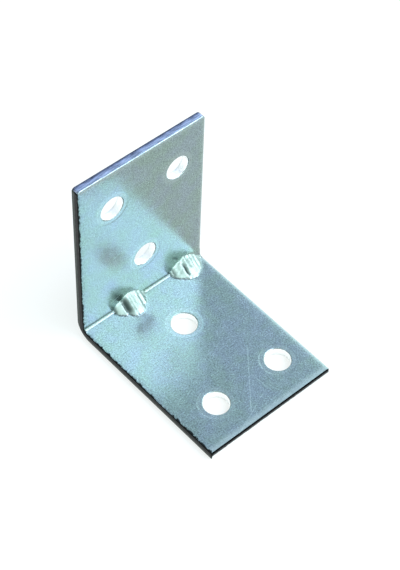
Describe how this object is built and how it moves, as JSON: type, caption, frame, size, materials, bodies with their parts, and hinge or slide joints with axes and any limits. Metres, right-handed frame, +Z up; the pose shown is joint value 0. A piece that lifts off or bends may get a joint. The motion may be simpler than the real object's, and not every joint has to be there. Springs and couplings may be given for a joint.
{
  "type": "corner brace bracket",
  "caption": "Right-angle corner brace of folded zinc-plated steel sheet, with plain screw holes in both legs and stiffening darts pressed into the fold.",
  "frame": {"origin": "on the underside plane, at mid-width and at the middle of the lying leg's length, which is the middle of the part's footprint", "axes": "+Z up along the standing leg, +Y out through the back face, +X along the fold; the lying leg points to -Y"},
  "size_m": [0.03, 0.039, 0.041],
  "materials": {
    "zinc_plate": "bright zinc plating with a pale blue passivation over cold-rolled steel sheet, satin, fine orange-peel grain; sheared edges darker"
  },
  "bodies": {
    "root": {"bracket": "zinc_plate"}
  },
  "joints": []
}
